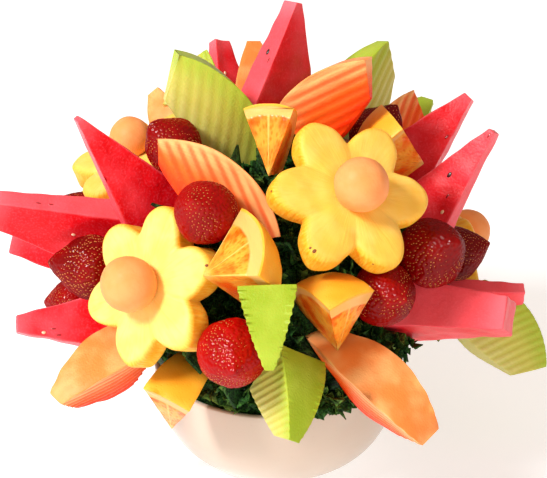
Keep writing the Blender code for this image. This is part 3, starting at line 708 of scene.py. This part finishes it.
peel = Look("orange_wedge", Roughness=0.38, Specular_IOR_Level=0.25, Subsurface_Weight=0.2,
            Subsurface_Scale=0.004)
cut = peel.read("cut")
x, y, z = peel.parts(cut)
reach = peel.vector("LENGTH", cut, out="Value")
wander = (peel.noise(cut, 0.25) - 0.5) * 0.06
side_pith, end_pith, _ = peel.parts(peel.read("pith"))
cross_cut = peel.step(y, 0.035, 0.0)
pith_depth = side_pith + (end_pith - side_pith) * cross_cut + wander
rind = peel.step(reach, 0.955, 0.975)
white = peel.step(reach, 0.945 - pith_depth, 0.985 - pith_depth)
ray = peel.vector("NORMALIZE", cut)
drawn_out = peel.vector("ADD", peel.vector("MULTIPLY", ray, (0.4, 0.4, 0.4)),
                        peel.vector("MULTIPLY", cut, (0.6, 0.6, 0.6)))
vesicle = peel.cells(drawn_out, 0.05)
juice = peel.blend(peel.step(vesicle, 0.1, 0.6), srgb(244, 128, 12), srgb(249, 166, 56))
deep = peel.blend(peel.step(peel.noise(cut, 0.35), 0.42, 0.7), juice, srgb(236, 86, 0))
core = peel.blend(peel.step(reach, 0.16, 0.05), deep, srgb(251, 196, 96))
segment = peel.maths("ARCTAN2", x, z) * (SEGMENTS / math.tau)
fold = peel.maths("FRACT", segment)
membrane = peel.step(abs(fold - 0.5), 0.455, 0.485) * cross_cut
flesh_colour = peel.blend(membrane * 0.7, core, srgb(250, 202, 110))
pale = peel.blend(white, flesh_colour, srgb(242, 182, 102))
pores = peel.cells(cut, 0.04)
skin = peel.blend(peel.step(peel.noise(cut, 0.5), 0.35, 0.7), srgb(250, 168, 40),
                  srgb(252, 190, 68))
peel.coat(peel.blend(rind, pale, skin), mix(0.3, 0.42, rind),
          peel.step(pores, 0.0, 0.4) * rind * 0.3 + vesicle * (1 - white), 0.0004)

for number, (at, aim, roll, angle, size, pith, end_pith) in enumerate(ORANGE, 1):
    wedge = orange_wedge(angle, pith, end_pith)
    roughen(wedge, *ORANGE_UNEVEN, number)
    wedge.transform(seat(at, aim, roll) @ Matrix.Scale(size, 4))
    show(wedge, f"orange_wedge_{number:02}", "citrus_flesh", [f"orange_{number:02}"], peel)

# ================================================================ strawberries
# Whole strawberries, hulled and pushed on their skewers tip outwards. The skin is glossy and
# dimpled, with a pale seed lying in each dimple.
STRAWBERRY = [
    # at                   aim       size  ripeness
    ((-61, 59, 0.137), (-60, 50), 0.91, 0.7),
    ((-22, 44, 0.149), (-20, 40), 0.96, 0.35),
    ((-68, 20, 0.130), (-88, 8), 1.03, 0.8),
    ((-107, 18, 0.137), (-101, 27), 0.82, 0.9),
    ((-100, -6, 0.134), (-106, -8), 0.92, 0.5),
    ((-10, 14, 0.145), (4, 5), 1.03, 0.0),
    ((32, 24, 0.125), (30, 14), 1.00, 0.6),
    ((51, 30, 0.132), (40, 34), 1.08, 0.75),
    ((83, 19, 0.118), (88, 20), 0.90, 0.9),
    ((101, 60, 0.124), (96, 55), 0.92, 1.0),
    ((-135, 25, 0.147), (-132, 24), 0.92, 0.4),
]
STRAWBERRY_LENGTH = 0.043
STRAWBERRY_RADIUS = 0.0188
STRAWBERRY_SHOULDER = 1.3             # over 1, the berry is widest nearer to its shoulder
STRAWBERRY_FULLNESS = 0.64            # under 1, its sides are fuller than a sine curve
STRAWBERRY_UNEVEN = (0.0010, 0.012)
SEEDS = 600
SEED_SIZE = Vector((0.00034, 0.00028, 0.00054))
SEED_STRAY = 0.1                      # how far a seed lies off its line, round the berry
SEED_STRAY_ALONG = 0.006              # and along it
NEARBY = 0.01                         # step over the skin that its slope is taken from
DIMPLE_RADIUS = 0.0010
DIMPLE_DEPTH = 0.0007


def berry_point(t, turn):
    """A point of the skin: t runs from the tip (0) to the shoulder (1)."""
    girth = math.sin(math.pi * t ** STRAWBERRY_SHOULDER) ** STRAWBERRY_FULLNESS if 0 < t < 1 else 0.0
    return Vector((girth * STRAWBERRY_RADIUS * math.cos(turn),
                   girth * STRAWBERRY_RADIUS * math.sin(turn), STRAWBERRY_LENGTH * (0.5 - t)))


def berry_seeds(chance):
    """Seeds on an even spiral, a little out of line, closer together toward the tip."""
    for i in range(SEEDS):
        t = math.acos(1 - 2 * (i + 0.7) / (SEEDS + 1)) / math.pi
        turn = i * GOLDEN_ANGLE + chance.uniform(-SEED_STRAY, SEED_STRAY)
        yield t + chance.uniform(-SEED_STRAY_ALONG, SEED_STRAY_ALONG), turn


def strawberry(seed_points):
    """A ball of even triangles drawn out to the berry's outline, then dimpled at each seed."""
    bm = bmesh.new()
    bmesh.ops.create_icosphere(bm, subdivisions=6, radius=1.0)
    for v in bm.verts:
        v.co = berry_point(math.acos(max(min(v.co.z, 1.0), -1.0)) / math.pi,
                           math.atan2(v.co.y, v.co.x))
    nearest = KDTree(len(seed_points))
    for index, point in enumerate(seed_points):
        nearest.insert(point, index)
    nearest.balance()
    bm.normal_update()
    moves = []
    for v in bm.verts:
        distance = nearest.find(v.co)[2] / DIMPLE_RADIUS
        moves.append(v.normal * -DIMPLE_DEPTH * math.exp(-distance * distance))
    for v, move in zip(bm.verts, moves):
        v.co += move
    return bm


berry_skin = Look("strawberry_skin", Roughness=0.4, Specular_IOR_Level=0.03, Coat_Weight=0.045,
                  Coat_Roughness=0.06, Coat_IOR=3.0)
patch = berry_skin.step(berry_skin.noise(berry_skin.place(), 0.018), 0.3, 0.7)
ripeness = berry_skin.read("ripeness", "Fac")
young = berry_skin.blend(patch, srgb(150, 2, 2), srgb(170, 8, 4))
ripe = berry_skin.blend(patch, srgb(92, 1, 2), srgb(122, 3, 4))
speckle = berry_skin.noise(berry_skin.place(), 0.0008)
berry_skin.coat(berry_skin.blend(ripeness, young, ripe), mix(0.3, 0.5, speckle), speckle, 0.0002)
seed_coat = Look("strawberry_seed", Roughness=0.35, Specular_IOR_Level=0.2)
seed_coat.coat(seed_coat.blend(seed_coat.noise(seed_coat.place(), 0.004), srgb(234, 160, 84),
                               srgb(150, 34, 22)))

one_seed = bmesh.new()
bmesh.ops.create_icosphere(one_seed, subdivisions=1, radius=1.0)
all_seeds = bmesh.new()
for number, (at, aim, size, ripe_share) in enumerate(STRAWBERRY, 1):
    place = seat(at, aim, 0) @ Matrix.Scale(size, 4)
    spots = list(berry_seeds(random.Random(number)))
    berry = strawberry([berry_point(t, turn) for t, turn in spots])
    layer = berry.verts.layers.float.new("ripeness")
    for v in berry.verts:
        v[layer] = ripe_share
    roughen(berry, *STRAWBERRY_UNEVEN, number)
    berry.transform(place)
    show(berry, f"strawberry_fruit_{number:02}", "strawberry_red",
         [f"strawberry_{number:02}"], berry_skin)
    for t, turn in spots:
        point = berry_point(t, turn)
        down = (berry_point(min(t + NEARBY, 0.999), turn) - point).normalized()
        out = (berry_point(t, turn + NEARBY) - point).cross(down).normalized()
        axes = Matrix((out.cross(down), out, down)).transposed().to_4x4()
        stretch = Matrix.Diagonal((*SEED_SIZE, 1.0))
        sunk = Matrix.Translation(point - out * out.dot(point.normalized()) * DIMPLE_DEPTH)
        seated = place @ sunk @ axes @ stretch
        copies = [all_seeds.verts.new(seated @ v.co) for v in one_seed.verts]
        for face in one_seed.faces:
            all_seeds.faces.new([copies[v.index] for v in face.verts])
one_seed.free()
show(all_seeds, "strawberry_seeds", "strawberry_red", [], seed_coat)

# ================================================================ pineapple flowers
# Thick slices of peeled pineapple stamped out with a daisy cutter of six petals. The petals'
# edges are soft, the stamped sides more golden than the face, partly in the flesh's own tone and
# partly as painted shade, and fibres run from the middle out.
PINEAPPLE = [
    # at                   aim       roll  ball    ripeness
    ((24, 48, 0.141), (25, 42), -14, 0.0150, 0.85),
    ((-36, 25, 0.129), (-42, 25), 33, 0.0155, 0.0),
    ((-111, 41, 0.120), (-63, 69), 109, 0.0130, 0.5),
    ((124, 3, 0.131), (110, 10), -26, 0.0145, 1.0),
    ((174, 18, 0.128), (174, 22), 12, 0.0150, 0.4),
]
FLOWER_RADIUS = 0.046
FLOWER_VALLEY = 0.031
FLOWER_PETALS = 6
PETAL_FULLNESS = 0.6
FLOWER_THICKNESS = 0.019
FLOWER_ROUND = 0.0035
FLOWER_STEPS = 180
FACE_ROWS = 16                        # from the middle of the face to its rounded edge
CORNER_ROWS = 5
SIDE_ROWS = 3
PETAL_RAGGED = 0.025                  # unevenness of the outline, as a share of its reach
VALLEY_SAG = 0.0018                   # how far the face sinks between the petals
RIM_SAG = 0.0010                      # and all round its rim
PINEAPPLE_UNEVEN = (0.0010, 0.010)
EYE_FLATNESS = 0.35                   # of a speck's half width
EYE_LENGTH = 1.3
EYES_LEFT = [
    # flower, place on it in millimetres, half width of the brown speck in metres
    (1, (-25, -35, 9), 0.0010), (1, (-27, -33, 8), 0.0006), (1, (-45, -1, 5), 0.0007),
    (1, (8, -44, 4), 0.0006), (2, (45, -1, 8), 0.0008), (2, (10, -40, 3), 0.0005),
    (3, (-20, -38, 8), 0.0007), (4, (24, 36, 8), 0.0009), (5, (-42, 6, 7), 0.0008),
    (5, (26, -34, 6), 0.0006),
]


def flower(number):
    """A turned disc whose points are then drawn in between the petals; `cut` keeps the share of
    the way out to the rim, along X and along Y, and the share of the way up."""
    top, e = FLOWER_THICKNESS / 2, FLOWER_ROUND
    inset = 1 - e / FLOWER_VALLEY
    corner = [(inset + (1 - inset) * math.sin(a), top - e + e * math.cos(a))
              for a in (math.pi / 2 * i / CORNER_ROWS for i in range(1, CORNER_ROWS))]
    upper = [(inset * i / FACE_ROWS, top) for i in range(FACE_ROWS + 1)] + corner
    side = [(1.0, (top - e) * (1 - i / SIDE_ROWS)) for i in range(SIDE_ROWS + 1)]
    half = upper + side
    bm = turned(half + [(r, -z) for r, z in half[-2::-1]], FLOWER_STEPS)
    face = bm.verts.layers.float_vector.new("cut")
    for v in bm.verts:
        r, turn = v.co.xy.length, math.atan2(v.co.y, v.co.x)
        lobe = (0.5 + 0.5 * math.cos(FLOWER_PETALS * turn)) ** PETAL_FULLNESS
        v[face] = Vector((v.co.x, v.co.y, v.co.z / top))
        ragged = noise.noise(Vector((4 * math.cos(turn), 4 * math.sin(turn), number * 3.1)))
        reach = mix(FLOWER_VALLEY, FLOWER_RADIUS, lobe) * (1 + PETAL_RAGGED * ragged)
        sag = VALLEY_SAG * (1 - lobe) ** 1.5 * r ** 3 + RIM_SAG * r ** 4
        v.co = Vector((v.co.x * reach, v.co.y * reach, v.co.z - sag * v.co.z / top))
    return bm


petal = Look("pineapple_flesh", Roughness=0.45, Specular_IOR_Level=0.2, Subsurface_Weight=0.2,
             Subsurface_Scale=0.005)
x, y, level = petal.parts(petal.read("cut"))
flat = petal.join(x, y, 0.0)
spread = petal.vector("LENGTH", flat, out="Value")
ray_x, ray_y, _ = petal.parts(petal.vector("NORMALIZE", flat))
streaks = petal.noise(petal.join(spread * 1.4, ray_x * 9.0, ray_y * 9.0), 0.5, 3.0)
strands = petal.noise(petal.join(level * 0.6, ray_x * 22.0, ray_y * 22.0), 0.5, 2.0)
clouds = petal.noise(petal.place(), 0.014)
# Ripeness turns a flower's face deeper gold; flower 1, turned from the light, is deeper gold than
# flower 2 partly as painted shade.
ripeness = petal.read("ripeness", "Fac")
bright = petal.blend(ripeness, srgb(250, 206, 104), srgb(248, 190, 72))
soft = petal.blend(ripeness, srgb(252, 212, 126), srgb(250, 200, 92))
face = petal.blend(petal.step(clouds, 0.35, 0.7), bright, soft)
fibred = petal.blend(petal.step(streaks, 0.45, 0.75) * 0.3, face, srgb(246, 184, 60))
golden = petal.blend(petal.step(strands, 0.35, 0.7), srgb(245, 170, 28), srgb(249, 194, 68))
# Partly painted shade: the stamped sides and rounded rim are more golden than the face.
side = petal.step(spread + (clouds - 0.5) * 0.10, 0.90, 1.02)
petal.coat(petal.blend(side, fibred, golden), mix(0.35, 0.55, streaks),
           streaks * 0.4 + clouds + strands * side, 0.0006)
speck_coat = Look("pineapple_eye", Roughness=0.6)
speck_coat.coat(speck_coat.blend(speck_coat.noise(speck_coat.place(), 0.001), srgb(96, 46, 14),
                                 srgb(150, 84, 24)))

specks = bmesh.new()
for number, (at, aim, roll, _, ripe_share) in enumerate(PINEAPPLE, 1):
    blossom = flower(number)
    roughen(blossom, *PINEAPPLE_UNEVEN, number)
    layer = blossom.verts.layers.float.new("ripeness")
    for v in blossom.verts:
        v[layer] = ripe_share
    surface = BVHTree.FromBMesh(blossom)
    for flower_number, place, half_size in EYES_LEFT:
        if flower_number == number:
            pressed = press_in(specks, surface, Vector(place) / 1000,
                               (half_size, half_size * EYE_FLATNESS, half_size * EYE_LENGTH),
                               1.0)
            bmesh.ops.transform(specks, matrix=seat(at, aim, roll), verts=pressed)
    blossom.transform(seat(at, aim, roll))
    show(blossom, f"pineapple_flower_{number:02}", "pineapple_yellow",
         [f"pineapple_{number:02}"], petal)
show(specks, "pineapple_eyes", "pineapple_yellow", [], speck_coat)

# ================================================================ melon balls
# A ball of cantaloupe sits at the heart of each flower, made with a melon scoop, which leaves it
# smooth, and cut flat below. The same skewer holds flower and ball.
BALL_SINK = 0.004
BALL_GAP = 0.0004
BALL_UNEVEN = (0.0004, 0.009)


def melon_ball(radius):
    bm = bmesh.new()
    bmesh.ops.create_uvsphere(bm, u_segments=72, v_segments=48, radius=radius)
    low = BALL_SINK - radius
    for v in bm.verts:
        v.co.z = max(v.co.z, low)
    return bm


ball_look = Look("melon_ball_flesh", Roughness=0.5, Specular_IOR_Level=0.2,
                 Subsurface_Weight=0.1, Subsurface_Scale=0.006)
ball_cloud = ball_look.noise(ball_look.place(), 0.010)
ball_grain = ball_look.noise(ball_look.place(), 0.0014, 3.0)
ball_look.coat(ball_look.blend(ball_look.step(ball_cloud, 0.3, 0.7), srgb(247, 152, 84),
                               srgb(248, 162, 98)),
               mix(0.42, 0.6, ball_grain), ball_grain, 0.0002)
for number, (at, aim, roll, radius, _) in enumerate(PINEAPPLE, 1):
    ball = melon_ball(radius)
    roughen(ball, *BALL_UNEVEN, number)
    lift = FLOWER_THICKNESS / 2 + BALL_GAP + radius - BALL_SINK
    ball.transform(seat(at, aim, roll) @ Matrix.Translation((0, 0, lift)))
    show(ball, f"scooped_ball_{number:02}", "melon_ball", [f"melon_ball_{number:02}"], ball_look)

# ================================================================ floor, light and camera
# A white table, seen from a little above. A softbox stands to the upper left and a weak, warm
# one in front, and the room throws back some warm light.
TABLE_SIZE = 6.0
ROOM_COLOUR = (1.0, 0.80, 0.65, 1.0)    # warm light thrown back by the room and the table
ROOM_STRENGTH = 0.50
TABLE_GLOW = 0.55            # light of the table's own, so that it comes out nearly white
WHITE = (1.0, 1.0, 1.0, 1.0)
LIT_POINT = Vector((0, 0, 0.13))
VIEW_ELEVATION = math.radians(24.5)
VIEW_DISTANCE = 1.0
VIEW_TARGET = Vector((-0.0024, 0.0, 0.146))
VIEW_LENS = 107.2            # millimetres, and so is the sensor's width
VIEW_SENSOR = 36

table = Look("white_table", Roughness=0.9)
weave = table.noise(table.place(), 0.3)
table.coat(table.blend(weave, srgb(222, 226, 230), srgb(218, 222, 226)))
table.shader.inputs["Emission Color"].default_value = WHITE
table.shader.inputs["Emission Strength"].default_value = TABLE_GLOW
sheet = bmesh.new()
bmesh.ops.create_grid(sheet, x_segments=1, y_segments=1, size=TABLE_SIZE / 2)
table_mesh = bpy.data.meshes.new("table")
sheet.to_mesh(table_mesh)
sheet.free()
table_mesh.materials.append(table.material)
table_piece = bpy.data.objects.new("table", table_mesh)
bpy.context.scene.collection.objects.link(table_piece)


def softbox(name, place, size, power, colour):
    """A square area light that faces the bouquet."""
    lamp = bpy.data.lights.new(name, "AREA")
    lamp.size = size
    lamp.energy = power
    lamp.color = colour
    light = bpy.data.objects.new(name, lamp)
    light.location = place
    light.rotation_euler = (LIT_POINT - light.location).to_track_quat("-Z", "Y").to_euler()
    bpy.context.scene.collection.objects.link(light)


softbox("key", Vector((-1.25, -1.0, 1.6)), size=0.5, power=54, colour=(1.0, 1.0, 1.0))
softbox("fill", Vector((0.3, -1.9, 0.7)), size=1.2, power=8, colour=(1.0, 0.88, 0.76))

world = bpy.context.scene.world or bpy.data.worlds.new("studio")
bpy.context.scene.world = world
world.use_nodes = True
backdrop = world.node_tree
room = backdrop.nodes["Background"]
room.inputs["Color"].default_value = ROOM_COLOUR
room.inputs["Strength"].default_value = ROOM_STRENGTH
seen = backdrop.nodes.new("ShaderNodeBackground")
seen.inputs["Color"].default_value = WHITE
either = backdrop.nodes.new("ShaderNodeMixShader")
rays = backdrop.nodes.new("ShaderNodeLightPath")
backdrop.links.new(rays.outputs["Is Camera Ray"], either.inputs[0])
backdrop.links.new(room.outputs[0], either.inputs[1])
backdrop.links.new(seen.outputs[0], either.inputs[2])
backdrop.links.new(either.outputs[0], backdrop.nodes["World Output"].inputs["Surface"])
bpy.context.scene.view_settings.view_transform = "Standard"

lens = bpy.data.cameras.new("camera")
lens.sensor_width = VIEW_SENSOR
lens.lens = VIEW_LENS
camera = bpy.data.objects.new("camera", lens)
back = Vector((0, -math.cos(VIEW_ELEVATION), math.sin(VIEW_ELEVATION)))
camera.location = VIEW_TARGET + back * VIEW_DISTANCE
camera.rotation_euler = (-back).to_track_quat("-Z", "Y").to_euler()
bpy.context.scene.collection.objects.link(camera)
bpy.context.scene.camera = camera
